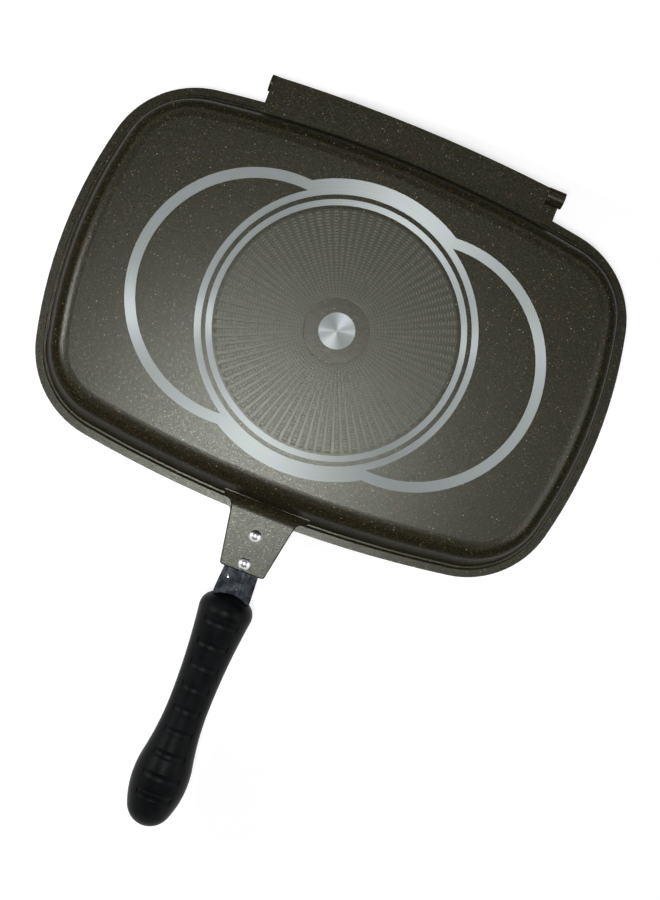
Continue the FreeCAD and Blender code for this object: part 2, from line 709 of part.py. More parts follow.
def make_strap(half):
    """Flat steel strap: it widens from the lug to the grip, and is narrow inside the grip."""
    body = new_body(half["name"] + "_strap")
    place(body, half["handle_turn"], y="-" + HANDLE_PLACE, z="half_height")
    outline = new_sketch(body, "strap_outline", "XY_Plane", "strap_level")
    start = "-(lug_length + grip_place - strap_start)"
    draw(outline, [
        ("-strap_width / 2", start),
        ("strap_width / 2", start),
        ("strap_width / 2", "-grip_place"),
        ("strap_end_width / 2", "0"),
        ("strap_end_width / 2", "strap_shoulder"),
        ("tang_width / 2", "strap_shoulder"),
        ("tang_width / 2", "tang_length"),
        ("-tang_width / 2", "tang_length"),
        ("-tang_width / 2", "strap_shoulder"),
        ("-strap_end_width / 2", "strap_shoulder"),
        ("-strap_end_width / 2", "0"),
        ("-strap_width / 2", "-grip_place"),
    ])
    pad(body, "plate", outline, "strap_thickness")
    holes = new_sketch(body, "holes_outline", "XY_Plane")
    for spot in (INNER_RIVET, OUTER_RIVET):
        draw_circle(holes, "rivet_radius + rivet_play", "0", "-(%s - %s)" % (HANDLE_PLACE, spot))
    draw_circle(holes, "grip_screw_radius + hole_play", "0", "grip_screw_place")
    pocket_both(body, "holes", holes, "2 * (strap_level + strap_thickness + overrun)")


def dome_radius(radius, height):
    return "((%s ^ 2 + %s ^ 2) / 2 / %s)" % (radius, height, height)


def make_rivet(half, which, spot):
    """Rivet with a domed head on the lug and a flatter dome under the strap."""
    body = new_body("%s_%s_rivet" % (half["name"], which))
    place(body, half["pan_turn"], y="-" + spot, z="half_height")
    turned(body, "rivet", [
        ("0", "strap_level - rivet_tail_height", dome_radius("rivet_tail_radius", "rivet_tail_height"), 1),
        ("rivet_tail_radius", "strap_level"),
        ("rivet_radius", "strap_level"),
        ("rivet_radius", "lug_thickness"),
        ("rivet_head_radius", "lug_thickness", dome_radius("rivet_head_radius", "rivet_head_height"), 1),
        ("0", "lug_thickness + rivet_head_height"),
    ])


def make_hinge_pin(side):
    """Steel pin, pressed into the lower half's knuckle and free in the upper one's."""
    body = new_body("hinge_pin_" + side)
    along_x = FreeCAD.Rotation(FreeCAD.Vector(0, 1, 0), 90)
    start = UPPER["knuckles"][side][1]
    place(body, along_x, x=start + " + pin_inset", y=HINGE_PLACE, z="half_height")
    length = "(inner_knuckle + knuckle_inset + knuckle_gap + outer_knuckle - 2 * pin_inset)"
    turned(body, "pin", [
        ("0", "0"),
        ("pin_radius - pin_chamfer", "0"),
        ("pin_radius", "pin_chamfer"),
        ("pin_radius", length + " - pin_chamfer"),
        ("pin_radius - pin_chamfer", length),
        ("0", length),
    ])


# Grips and what they hold, each drawn from the grip's front end, with +Y towards its tail

def draw_grip(sketch):
    """Half of the grip's plan: nose, shoulder, waist, bulb and tail as tangent arcs."""
    nose = FreeCAD.Vector(0, amount("grip_nose_radius"), 0)
    shoulder = FreeCAD.Vector(amount(SHOULDER_X), amount(SHOULDER_PLACE), 0)
    curve = amount("grip_shoulder_curve")
    front_sweep = amount(FRONT_SWEEP)
    rear_sweep = amount(REAR_SWEEP)
    bulb_sweep = amount(BULB_SWEEP)
    waist = FreeCAD.Vector(amount("grip_waist_radius"), amount(WAIST_PLACE), 0)
    front = waist + FreeCAD.Vector(front_sweep, 0, 0)
    rear = waist + FreeCAD.Vector(rear_sweep, 0, 0)
    bulb = FreeCAD.Vector(amount("grip_bulb_radius") - bulb_sweep, amount(BULB_PLACE), 0)
    tail = FreeCAD.Vector(0, amount("grip_length - grip_tail_radius"), 0)
    joints = [
        FreeCAD.Vector(0, 0, 0),
        shoulder + (shoulder - nose).normalize() * curve,
        shoulder + (front - shoulder).normalize() * curve,
        waist,
        bulb + (rear - bulb).normalize() * bulb_sweep,
        bulb + (tail - bulb).normalize() * bulb_sweep,
        FreeCAD.Vector(0, amount("grip_length"), 0),
    ]
    radii = [nose.y, curve, front_sweep, rear_sweep, bulb_sweep, amount("grip_tail_radius")]
    turns = [1, 1, -1, -1, 1, 1]
    ends = [(1, 2) if turn > 0 else (2, 1) for turn in turns]
    for index, radius in enumerate(radii):
        arc = arc_between(joints[index], joints[index + 1], radius, turns[index])
        sketch.addGeometry(arc, False)
    last = len(radii) - 1
    spine = sketch.addGeometry(Part.LineSegment(joints[-1], joints[0]), False)
    for index in range(last):
        sketch.addConstraint(Sketcher.Constraint(
            "Tangent", index, ends[index][1], index + 1, ends[index + 1][0]))
    sketch.addConstraint(Sketcher.Constraint("Coincident", last, 2, spine, 1))
    sketch.addConstraint(Sketcher.Constraint("Coincident", spine, 2, 0, 1))
    fix_point(sketch, 0, 1, "0", "0")
    sketch.addConstraint(Sketcher.Constraint("PointOnObject", 0, 3, -2))
    driven(sketch, "Radius", 0, expression="grip_nose_radius")
    driven(sketch, "Radius", 1, expression="grip_shoulder_curve")
    driven(sketch, "Radius", 2, expression=FRONT_SWEEP)
    driven(sketch, "DistanceY", -1, 1, 2, 3, expression=WAIST_PLACE)
    fix_point(sketch, 2, ends[2][1], "grip_waist_radius", WAIST_PLACE)
    fix_point(sketch, 4, 3, "grip_bulb_radius - " + BULB_SWEEP, BULB_PLACE)
    fix_point(sketch, last, 2, "0", "grip_length")
    sketch.addConstraint(Sketcher.Constraint("PointOnObject", last, 3, -2))
    driven(sketch, "Radius", last, expression="grip_tail_radius")


def grip_radius_at(spot):
    """The grip's radius at a place along its waist or bulb."""
    bulb_from = "%s - grip_waist_to_bulb * %s / (%s + %s)" % (BULB_PLACE, BULB_SWEEP, BULB_SWEEP, REAR_SWEEP)
    if amount(spot) > amount(bulb_from):
        return "(grip_bulb_radius - %s + sqrt(%s ^ 2 - (%s - %s) ^ 2))" % (
            BULB_SWEEP, BULB_SWEEP, spot, BULB_PLACE)
    sweep = FRONT_SWEEP if amount(spot) < amount(WAIST_PLACE) else REAR_SWEEP
    return "(grip_waist_radius + %s - sqrt(%s ^ 2 - (%s - %s) ^ 2))" % (sweep, sweep, spot, WAIST_PLACE)


def make_grip(half, catch_thickness):
    """Half-round moulded grip, flat where it meets the other one."""
    body = new_body(half["name"] + "_grip")
    place(body, half["handle_turn"], y="-" + HANDLE_PLACE, z="half_height")
    plan = new_sketch(body, "grip_plan", "XY_Plane")
    draw_grip(plan)
    moulding = grow(body, "Revolution", "moulding", plan)
    moulding.ReferenceAxis = (plan, ["V_Axis"])
    moulding.Angle = 180
    moulding.Reversed = True
    face = new_sketch(body, "face_outline", "XY_Plane")
    draw(face, rectangle("-(grip_bulb_radius + overrun)", "-overrun",
                         "grip_bulb_radius + overrun", "grip_length + overrun"))
    flat = pocket_up(body, "flat_face", face, GRIP_FACE)
    tail = ("0", "grip_length", GRIP_FACE)
    fillet(body, "face_edge", flat, [tail], "grip_edge_radius")
    slot = new_sketch(body, "tang_slot_outline", "XY_Plane", "strap_level - strap_play")
    wide = "(strap_end_width / 2 + strap_play)"
    narrow = "(tang_width / 2 + strap_play)"
    shoulder = "strap_shoulder + strap_play"
    end = "tang_length + strap_play"
    draw(slot, [
        ("-" + wide, "-overrun"),
        (wide, "-overrun"),
        (wide, shoulder),
        (narrow, shoulder),
        (narrow, end),
        ("-" + narrow, end),
        ("-" + narrow, shoulder),
        ("-" + wide, shoulder),
    ])
    pocket_up(body, "tang_slot", slot, "strap_thickness + 2 * strap_play")
    head = "(grip_screw_head_radius + hole_play)"
    shank = "(grip_screw_radius + hole_play)"
    sink = "(%s + grip_screw_recess)" % GRIP_FACE
    turned_cut(body, "screw_and_nut_bore", [
        ("0", "0"),
        (head, "0"),
        (head, sink),
        (shank, sink + " + grip_screw_head_height"),
        (shank, NUT_START),
        ("nut_radius + thread_play", NUT_START),
        ("nut_radius + thread_play", NUT_START + " + nut_length"),
        ("0", NUT_START + " + nut_length"),
    ], "grip_screw_place")
    floor = CATCH_FACE + " + " + catch_thickness
    turned_cut(body, "catch_recess", [
        ("0", "0"),
        ("catch_radius + catch_play", "0"),
        ("catch_radius + catch_play", floor),
        ("catch_screw_radius + thread_play", floor),
        ("catch_screw_radius + thread_play", CATCH_FACE + " + catch_screw_length"),
        ("0", CATCH_FACE + " + catch_screw_length"),
    ], CATCH_PLACE)
    ripples = new_sketch(body, "ripple_outline", "YZ_Plane")
    for index in range(round(amount("ripple_count"))):
        spot = "(ripple_start + %d * %s)" % (index, RIPPLE_PITCH)
        centre = grip_radius_at(spot) + " + ripple_radius - ripple_depth"
        draw_circle(ripples, "ripple_radius", spot, centre)
    grooves = grow(body, "Groove", "ripples", ripples, Angle="ripple_angle")
    grooves.ReferenceAxis = (ripples, ["H_Axis"])
    grooves.Midplane = True


def make_screw(name, half, spot, start, radius, head_radius, head_height, end):
    """Countersunk screw with a cross recess."""
    body = new_body(name)
    place(body, half["handle_turn"], y="-(%s + %s)" % (HANDLE_PLACE, spot), z="half_height")
    turned(body, "screw", [
        ("0", start),
        (head_radius, start),
        (radius, start + " + " + head_height),
        (radius, end),
        ("0", end),
    ])
    arm = "(%s * %s)" % (head_radius, DRIVE_REACH_SHARE)
    half_slot = "drive_slot_width / 2"
    cross = new_sketch(body, "cross_outline", "XY_Plane", start)
    draw(cross, [
        (half_slot, half_slot), (half_slot, arm), ("-" + half_slot, arm),
        ("-" + half_slot, half_slot), ("-" + arm, half_slot), ("-" + arm, "-" + half_slot),
        ("-" + half_slot, "-" + half_slot), ("-" + half_slot, "-" + arm), (half_slot, "-" + arm),
        (half_slot, "-" + half_slot), (arm, "-" + half_slot), (arm, half_slot),
    ])
    pocket_up(body, "cross_recess", cross, "drive_slot_depth")


def make_insert_nut(half):
    body = new_body(half["name"] + "_insert_nut")
    place(body, half["handle_turn"], y="-(%s + grip_screw_place)" % HANDLE_PLACE, z="half_height")
    bore = "grip_screw_radius + thread_play"
    turned(body, "nut", [
        (bore, NUT_START),
        ("nut_radius", NUT_START),
        ("nut_radius", NUT_START + " + nut_length"),
        (bore, NUT_START + " + nut_length"),
    ])


def make_catch(name, half, thickness):
    """Magnet or steel keeper: a disc with a countersunk hole."""
    body = new_body(name)
    place(body, half["handle_turn"], y="-(%s + %s)" % (HANDLE_PLACE, CATCH_PLACE), z="half_height")
    hole = "(catch_screw_radius + hole_play)"
    sink = "(catch_screw_head_radius + hole_play)"
    turned(body, "disc", [
        (sink, CATCH_FACE),
        ("catch_radius", CATCH_FACE),
        ("catch_radius", CATCH_FACE + " + " + thickness),
        (hole, CATCH_FACE + " + " + thickness),
        (hole, CATCH_FACE + " + catch_screw_head_height + hole_play"),
    ])


def make_handle(half, catch_name, catch_thickness):
    make_strap(half)
    make_rivet(half, "inner", INNER_RIVET)
    make_rivet(half, "outer", OUTER_RIVET)
    make_grip(half, catch_thickness)
    make_insert_nut(half)
    make_screw(half["name"] + "_grip_screw", half, "grip_screw_place",
               "(%s + grip_screw_recess)" % GRIP_FACE, "grip_screw_radius",
               "grip_screw_head_radius", "grip_screw_head_height", "grip_screw_end")
    make_catch(half["name"] + "_" + catch_name, half, catch_thickness)
    make_screw("%s_%s_screw" % (half["name"], catch_name), half, CATCH_PLACE,
               "(%s + hole_play)" % CATCH_FACE, "catch_screw_radius",
               "catch_screw_head_radius", "catch_screw_head_height",
               "(%s + catch_screw_length - hole_play)" % CATCH_FACE)


make_pan(LOWER)
make_pan(UPPER)
make_seal()
for side in UPPER["knuckles"]:
    make_hinge_pin(side)
make_handle(LOWER, "keeper", "keeper_thickness")
make_handle(UPPER, "magnet", "magnet_thickness")


def write_parts():
    """Check every object and every solid, then write each sub-part under its own name."""
    stop_on_fault()
    bodies = [thing for thing in document.Objects if thing.TypeId == "PartDesign::Body"]
    faults = [body.Label for body in bodies if body.Shape.isNull() or not body.Shape.isValid()]
    if faults:
        raise RuntimeError("no valid solid: " + ", ".join(faults))
    os.makedirs("parts", exist_ok=True)
    for body in bodies:
        body.Shape.exportStep("parts/%s.step" % body.Label)


write_parts()
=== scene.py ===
import math

import bpy
from mathutils import Matrix, Vector


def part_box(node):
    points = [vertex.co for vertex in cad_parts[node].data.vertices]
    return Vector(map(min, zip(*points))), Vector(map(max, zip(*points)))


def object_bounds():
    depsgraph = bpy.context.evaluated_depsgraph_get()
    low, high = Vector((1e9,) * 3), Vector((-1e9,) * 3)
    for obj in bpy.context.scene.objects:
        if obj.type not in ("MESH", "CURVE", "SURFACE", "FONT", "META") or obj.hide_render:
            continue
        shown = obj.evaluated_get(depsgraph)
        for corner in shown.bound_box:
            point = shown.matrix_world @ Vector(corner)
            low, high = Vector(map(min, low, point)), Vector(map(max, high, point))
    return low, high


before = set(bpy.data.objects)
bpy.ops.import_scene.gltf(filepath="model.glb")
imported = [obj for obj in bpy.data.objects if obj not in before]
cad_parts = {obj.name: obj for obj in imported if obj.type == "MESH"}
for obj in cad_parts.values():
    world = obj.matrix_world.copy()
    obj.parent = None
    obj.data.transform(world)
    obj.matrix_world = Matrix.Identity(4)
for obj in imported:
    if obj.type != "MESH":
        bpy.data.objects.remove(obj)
cad_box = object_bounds()

# Double sided flip pan, closed and seen from above: finishes of every part, floor, light and camera.
# Metres. +X runs along the long side, +Y towards the hinge, +Z up from the lower base.
# The finishes' sizes are in millimetres, and all colours are linear red, green and blue.
# A range of four numbers is where a blend starts and ends, and what it is at these two.

MILLIMETRE = 0.001
FULL_TURN = 2 * math.pi
QUARTER_TURN = math.pi / 2


# Shader nodes

# The range that most soft noise stays in
NOISE_RANGE = (0.3, 0.7)

# Blender's numbers for the colour sockets of the Mix node
MIX_SHARE = 0
MIX_FIRST = 6
MIX_SECOND = 7
MIX_RESULT = 2


def new_material(name):
    """A material, its node tree, the inputs of its Principled shader, and the place in millimetres."""
    material = bpy.data.materials.new(name)
    material.use_nodes = True
    tree = material.node_tree
    return material, tree, tree.nodes["Principled BSDF"].inputs, in_millimetres(tree)


def feed(tree, socket, value):
    """Give a socket a link or a plain value. A plain colour is three numbers."""
    if isinstance(value, bpy.types.NodeSocket):
        tree.links.new(value, socket)
    elif socket.type == "RGBA":
        socket.default_value = (*value, 1.0)
    else:
        socket.default_value = value


def node(tree, kind, inputs=None, **settings):
    """A node with its settings and its inputs, by the names that they have."""
    made = tree.nodes.new("ShaderNode" + kind)
    for name, value in settings.items():
        setattr(made, name, value)
    for name, value in (inputs or {}).items():
        feed(tree, made.inputs[name], value)
    return made


def maths(tree, operation, *values):
    """A sum on plain numbers."""
    made = node(tree, "Math", operation=operation)
    for socket, value in zip(made.inputs, values):
        feed(tree, socket, value)
    return made.outputs[0]


def vector_maths(tree, operation, *values, output="Vector"):
    """A sum on vectors."""
    made = node(tree, "VectorMath", operation=operation)
    for socket, value in zip(made.inputs, values):
        feed(tree, socket, value)
    return made.outputs[output]


def ramp(tree, value, low, high, start=0.0, end=1.0):
    """A value carried from one range to another, smoothly and held at both ends."""
    made = node(tree, "MapRange", {
        "Value": value, "From Min": low, "From Max": high, "To Min": start, "To Max": end,
    }, interpolation_type="SMOOTHSTEP")
    return made.outputs["Result"]


def spread(tree, value, start=0.0, end=1.0):
    """Soft noise carried to a range of its own."""
    return ramp(tree, value, *NOISE_RANGE, start, end)


def blend_colours(tree, share, first, second):
    """The first colour, with this share of the second."""
    made = node(tree, "Mix", data_type="RGBA")
    feed(tree, made.inputs[MIX_SHARE], share)
    feed(tree, made.inputs[MIX_FIRST], first)
    feed(tree, made.inputs[MIX_SECOND], second)
    return made.outputs[MIX_RESULT]


def in_millimetres(tree):
    """The place on the part, in the part's own frame."""
    made = node(tree, "VectorMath", {"Scale": 1 / MILLIMETRE}, operation="SCALE")
    feed(tree, made.inputs[0], node(tree, "TexCoord").outputs["Object"])
    return made.outputs["Vector"]


def noise(tree, place, size, detail=2.0, roughness=0.5):
    """Soft noise whose blotches are about this size in millimetres."""
    made = node(tree, "TexNoise", {
        "Vector": place, "Scale": 1 / size, "Detail": detail, "Roughness": roughness,
    })
    return made.outputs["Fac"]


# The smallest speck as a share of the largest one's radius, and the soft edge as a share of it
SMALLEST_SPECK = 0.5
SPECK_EDGE = 0.4


def specks(tree, place, pitch, radius, share):
    """Round specks on a jittered grid, of which this share is kept."""
    cells = node(tree, "TexVoronoi", {"Vector": place, "Scale": 1 / pitch})
    far = maths(tree, "MULTIPLY", cells.outputs["Distance"], pitch)
    chance = node(tree, "SeparateColor", {"Color": cells.outputs["Color"]})
    size = ramp(tree, chance.outputs["Green"], 0.0, 1.0, SMALLEST_SPECK, 1.0)
    inside = maths(tree, "SUBTRACT", maths(tree, "MULTIPLY", size, radius), far)
    mask = ramp(tree, inside, 0.0, radius * SPECK_EDGE)
    kept = maths(tree, "LESS_THAN", chance.outputs["Red"], share)
    return maths(tree, "MULTIPLY", mask, kept)


def bump(tree, height, depth, normal=None):
    """A bump whose height of 1 stands for this many millimetres."""
    made = node(tree, "Bump", {"Height": height, "Distance": depth * MILLIMETRE, "Strength": 1.0})
    if normal is not None:
        feed(tree, made.inputs["Normal"], normal)
    return made.outputs["Normal"]


# Coating

GRAIN = {"size": 0.9, "detail": 3.0, "roughness": 0.7}
GRAIN_DEPTH = 0.10
COATING_DARK = (0.001, 0.001, 0.0005)
COATING_LIGHT = (0.032, 0.029, 0.013)
CLOUD = {"size": 22.0}
CLOUD_RANGE = (0.35, 0.70, 0.0, 0.35)
CLOUD_BROWN = (0.020, 0.014, 0.008)
SMEARS = {"size": 1.5}
COATING_ROUGHNESS = (0.27, 0.34)
COATING_IOR = 1.45
GLOSS_TINT = (0.97, 1.0, 0.90)

# The gloss is faint on steep faces and full on level ones, by the upright share of the normal
GLOSS_RANGE = (0.86, 0.995, 0.01, 0.50)

# Layers of specks with their colours, and each layer's shift from the one before
SPECK_LAYERS = (
    ({"pitch": 1.3, "radius": 0.40, "share": 0.45}, (0.005, 0.005, 0.004)),
    ({"pitch": 1.3, "radius": 0.38, "share": 0.55}, (0.085, 0.080, 0.045)),
    ({"pitch": 1.7, "radius": 0.42, "share": 0.50}, (0.190, 0.120, 0.030)),
    ({"pitch": 1.8, "radius": 0.42, "share": 0.50}, (0.130, 0.035, 0.020)),
    ({"pitch": 2.4, "radius": 0.42, "share": 0.32}, (0.300, 0.280, 0.200)),
)
LAYER_SHIFT = Vector((17.3, 5.9, 11.1))

# The sunburst of rays inside the base's rings, as the castings have it, and the dashes along the rays, whose
# pale colour is a painted glint
RAY_START = 20.0
RAY_END = 72.0
RAY_COUNT = 84
RAY_FADE = 1.0
SUNBURST_SHARE = 0.45
SUNBURST_TINT = (0.075, 0.077, 0.062)
DASH_PITCH = 1.8
DASH_DEPTH = 0.22
DASH_END_SOFTNESS = 0.5
DASH_SIDE_SOFTNESS = 0.4
DASH_GLINT_SHARE = 0.35
DASH_GLINT_TINT = (0.21, 0.215, 0.18)

# The height where the halves meet, and how far from it only the outsides of the bases are
MIDDLE_LEVEL = 43.0
OUTER_FACE = 41.0


def stone_coating():
    """Dark olive coating: fine grain, brown clouds, specks of five tints, a paler sunburst, and a painted
    glint on its dashes.
    """
    material, tree, inputs, place = new_material("stone_coating")
    grain = noise(tree, place, **GRAIN)
    colour = blend_colours(tree, spread(tree, grain), COATING_DARK, COATING_LIGHT)
    cloud = ramp(tree, noise(tree, place, **CLOUD), *CLOUD_RANGE)
    colour = blend_colours(tree, cloud, colour, CLOUD_BROWN)
    for index, (layer, tint) in enumerate(SPECK_LAYERS):
        shifted = vector_maths(tree, "ADD", place, index * LAYER_SHIFT)
        colour = blend_colours(tree, specks(tree, shifted, **layer), colour, tint)
    within, dashes = sunburst(tree, place)
    colour = blend_colours(tree, maths(tree, "MULTIPLY", within, SUNBURST_SHARE), colour, SUNBURST_TINT)
    # Painted glint: the dashes are made pale to stand in for the light that they catch
    colour = blend_colours(tree, maths(tree, "MULTIPLY", dashes, DASH_GLINT_SHARE), colour, DASH_GLINT_TINT)
    facing = node(tree, "SeparateXYZ", {"Vector": node(tree, "TexCoord").outputs["Normal"]})
    levelness = maths(tree, "ABSOLUTE", facing.outputs["Z"])
    feed(tree, inputs["Base Color"], colour)
    feed(tree, inputs["Roughness"], spread(tree, noise(tree, place, **SMEARS), *COATING_ROUGHNESS))
    feed(tree, inputs["IOR"], COATING_IOR)
    feed(tree, inputs["Specular IOR Level"], ramp(tree, levelness, *GLOSS_RANGE))
    feed(tree, inputs["Specular Tint"], GLOSS_TINT)
    feed(tree, inputs["Normal"], bump(tree, dashes, DASH_DEPTH, bump(tree, grain, GRAIN_DEPTH)))
    return material


def sunburst(tree, place):
    """Where the sunburst is, and the short dashes in a column along each of its rays, both from 0 to 1."""
    parts = node(tree, "SeparateXYZ", {"Vector": place})
    x, y = parts.outputs["X"], parts.outputs["Y"]
    height = maths(tree, "ABSOLUTE", maths(tree, "SUBTRACT", parts.outputs["Z"], MIDDLE_LEVEL))
    outside = maths(tree, "GREATER_THAN", height, OUTER_FACE)
    square = maths(tree, "ADD", maths(tree, "MULTIPLY", x, x), maths(tree, "MULTIPLY", y, y))
    radius = maths(tree, "SQRT", square)
    along = maths(tree, "SINE", maths(tree, "MULTIPLY", radius, FULL_TURN / DASH_PITCH))
    across = maths(tree, "COSINE", maths(tree, "MULTIPLY", maths(tree, "ARCTAN2", y, x), RAY_COUNT))
    dash = maths(tree, "MULTIPLY", ramp(tree, along, -DASH_END_SOFTNESS, DASH_END_SOFTNESS),
                 ramp(tree, across, -DASH_SIDE_SOFTNESS, DASH_SIDE_SOFTNESS))
    within = maths(tree, "MULTIPLY", ramp(tree, radius, RAY_START - RAY_FADE, RAY_START + RAY_FADE),
                   ramp(tree, radius, RAY_END + RAY_FADE, RAY_END - RAY_FADE))
    within = maths(tree, "MULTIPLY", within, outside)
    return within, maths(tree, "MULTIPLY", dash, within)


# Turned metal of the rings

LEVEL_ONLY = (1.0, 1.0, 0.0)
TURNING = {"Scale": 3.0, "Detail": 3.0}
TURNING_DEPTH = 0.004
TURNING_RANGE = (0.35, 0.65)
TURNED_DARK = (0.29, 0.32, 0.31)
TURNED_LIGHT = (0.41, 0.44, 0.43)
TARNISH = {"size": 9.0}
TARNISH_RANGE = (0.4, 0.7, 0.0, 0.5)
TARNISH_BLUE = (0.36, 0.37, 0.42)
TURNED_ROUGHNESS = (0.52, 0.60)
TURNED_ANISOTROPY = 0.97


def turned_metal():
    """Bare aluminium, turned about the middle of the base."""
    material, tree, inputs, place = new_material("turned_metal")
    spoke = vector_maths(tree, "MULTIPLY", place, LEVEL_ONLY)
    radius = vector_maths(tree, "LENGTH", spoke, output="Value")
    world_spoke = node(tree, "VectorTransform", {"Vector": spoke}, vector_type="VECTOR",
                       convert_from="OBJECT", convert_to="WORLD").outputs["Vector"]
    lines = node(tree, "TexNoise", {"W": radius, **TURNING}, noise_dimensions="1D").outputs["Fac"]
    colour = blend_colours(tree, ramp(tree, lines, *TURNING_RANGE), TURNED_DARK, TURNED_LIGHT)
    tarnish = ramp(tree, noise(tree, place, **TARNISH), *TARNISH_RANGE)
    feed(tree, inputs["Base Color"], blend_colours(tree, tarnish, colour, TARNISH_BLUE))
    feed(tree, inputs["Metallic"], 1.0)
    feed(tree, inputs["Roughness"], spread(tree, lines, *TURNED_ROUGHNESS))
    feed(tree, inputs["Anisotropic"], TURNED_ANISOTROPY)
    feed(tree, inputs["Tangent"], vector_maths(tree, "NORMALIZE", world_spoke))
    feed(tree, inputs["Normal"], bump(tree, lines, TURNING_DEPTH))
    return material


# Rolled steel of the straps

ROLLING = {"size": 0.7, "detail": 3.0, "roughness": 0.6}
ROLLING_STRETCH = (1.0, 0.06, 1.0)
ROLLING_SHARE = 0.3
BLOTCHES = {"size": 3.5, "detail": 3.0, "roughness": 0.6}
BLOTCH_RANGE = (0.35, 0.65)
STEEL_DARK = (0.035, 0.040, 0.050)
STEEL_LIGHT = (0.130, 0.145, 0.155)
# Painted reflection: violet and teal blotches that stand in for the bluish light the strip reflects
PAINTED_REFLECTION = {"size": 5.0}
PAINTED_REFLECTION_SHIFT = (31.0, 7.0, 0.0)
VIOLET_RANGE = (0.45, 0.65, 0.0, 0.6)
REFLECTION_VIOLET = (0.050, 0.050, 0.075)
TEAL_RANGE = (0.50, 0.30, 0.0, 0.5)
REFLECTION_TEAL = (0.060, 0.095, 0.095)
SCUFFS = {"pitch": 4.0, "radius": 0.8, "share": 0.4}
SCUFF_BRIGHT = (0.50, 0.52, 0.52)
STEEL_ROUGHNESS = (0.08, 0.14)
STEEL_DEPTH = 0.03


def rolled_steel():
    """Steel strip: faint lines along it, violet and teal blotches of painted bluish reflection, and a few
    bright scuffs.
    """
    material, tree, inputs, place = new_material("rolled_steel")
    lines = noise(tree, vector_maths(tree, "MULTIPLY", place, ROLLING_STRETCH), **ROLLING)
    blotches = ramp(tree, noise(tree, place, **BLOTCHES), *BLOTCH_RANGE)
    painted_reflection = noise(tree, vector_maths(tree, "ADD", place, PAINTED_REFLECTION_SHIFT), **PAINTED_REFLECTION)
    scuff = specks(tree, place, **SCUFFS)
    colour = blend_colours(tree, blotches, STEEL_DARK, STEEL_LIGHT)
    # Painted bluish reflection, in violet and teal blotches
    colour = blend_colours(tree, ramp(tree, painted_reflection, *VIOLET_RANGE), colour, REFLECTION_VIOLET)
    colour = blend_colours(tree, ramp(tree, painted_reflection, *TEAL_RANGE), colour, REFLECTION_TEAL)
    height = maths(tree, "SUBTRACT", maths(tree, "MULTIPLY", lines, ROLLING_SHARE), scuff)
    feed(tree, inputs["Base Color"], blend_colours(tree, scuff, colour, SCUFF_BRIGHT))
    feed(tree, inputs["Metallic"], 1.0)
    feed(tree, inputs["Roughness"], spread(tree, lines, *STEEL_ROUGHNESS))
    feed(tree, inputs["Normal"], bump(tree, height, STEEL_DEPTH))
    return material


# Metals of the fasteners: colour, and roughness where they are smooth and where they are scratched

RIVET_METAL = ((0.78, 0.79, 0.80), 0.22, 0.34)
TURNED_BRASS = ((0.62, 0.42, 0.14), 0.25, 0.35)
SCREW_METAL = ((0.55, 0.56, 0.58), 0.25, 0.38)
PIN_METAL = ((0.50, 0.50, 0.52), 0.28, 0.40)
NICKEL = ((0.62, 0.60, 0.55), 0.12, 0.22)
PLAIN_STEEL = ((0.50, 0.50, 0.51), 0.30, 0.42)
SCRATCHES = {"size": 0.5, "detail": 3.0, "roughness": 0.6}
SCRATCH_STRETCH = (1.0, 5.0, 2.0)
SCRATCH_RANGE = (0.35, 0.70)
SCRATCH_DEPTH = 0.006
DULL_SHARE = 0.75


def bright_metal(name, colour, smooth, scratched):
    """Plain metal for a fastener: fine scratches and slightly uneven gloss."""
    material, tree, inputs, place = new_material(name)
    scratches = noise(tree, vector_maths(tree, "MULTIPLY", place, SCRATCH_STRETCH), **SCRATCHES)
    dull = [DULL_SHARE * part for part in colour]
    shade = ramp(tree, scratches, *SCRATCH_RANGE)
    feed(tree, inputs["Base Color"], blend_colours(tree, shade, colour, dull))
    feed(tree, inputs["Metallic"], 1.0)
    feed(tree, inputs["Roughness"], spread(tree, scratches, smooth, scratched))
    feed(tree, inputs["Normal"], bump(tree, scratches, SCRATCH_DEPTH))
    return material


# Phenolic of the grips

PEBBLE = {"size": 0.55}
PEBBLE_DEPTH = 0.03
HAZE = {"size": 12.0, "detail": 3.0}
HAZE_RANGE = (0.35, 0.70)
PHENOLIC_DARK = (0.0015, 0.0018, 0.0020)
PHENOLIC_LIGHT = (0.0040, 0.0050, 0.0055)
PHENOLIC_ROUGHNESS = (0.38, 0.46)
PHENOLIC_IOR = 1.45
PHENOLIC_GLOSS = 0.08


def black_phenolic():
    """Black moulding with a dull gloss, a fine pebble and slightly paler clouds."""
    material, tree, inputs, place = new_material("black_phenolic")
    haze = noise(tree, place, **HAZE)
    shade = ramp(tree, haze, *HAZE_RANGE)
    feed(tree, inputs["Base Color"], blend_colours(tree, shade, PHENOLIC_DARK, PHENOLIC_LIGHT))
    feed(tree, inputs["Roughness"], spread(tree, haze, *PHENOLIC_ROUGHNESS))
    feed(tree, inputs["IOR"], PHENOLIC_IOR)
    feed(tree, inputs["Specular IOR Level"], PHENOLIC_GLOSS)
    feed(tree, inputs["Normal"], bump(tree, noise(tree, place, **PEBBLE), PEBBLE_DEPTH))
    return material


# Silicone of the seal

DUST = {"size": 2.5, "detail": 4.0, "roughness": 0.7}
DUST_RANGE = (0.5, 0.8)
SKIN = {"size": 0.8}
SKIN_DEPTH = 0.02
SILICONE_DARK = (0.030, 0.030, 0.033)
SILICONE_DUSTY = (0.075, 0.074, 0.070)
SILICONE_ROUGHNESS = (0.55, 0.70)


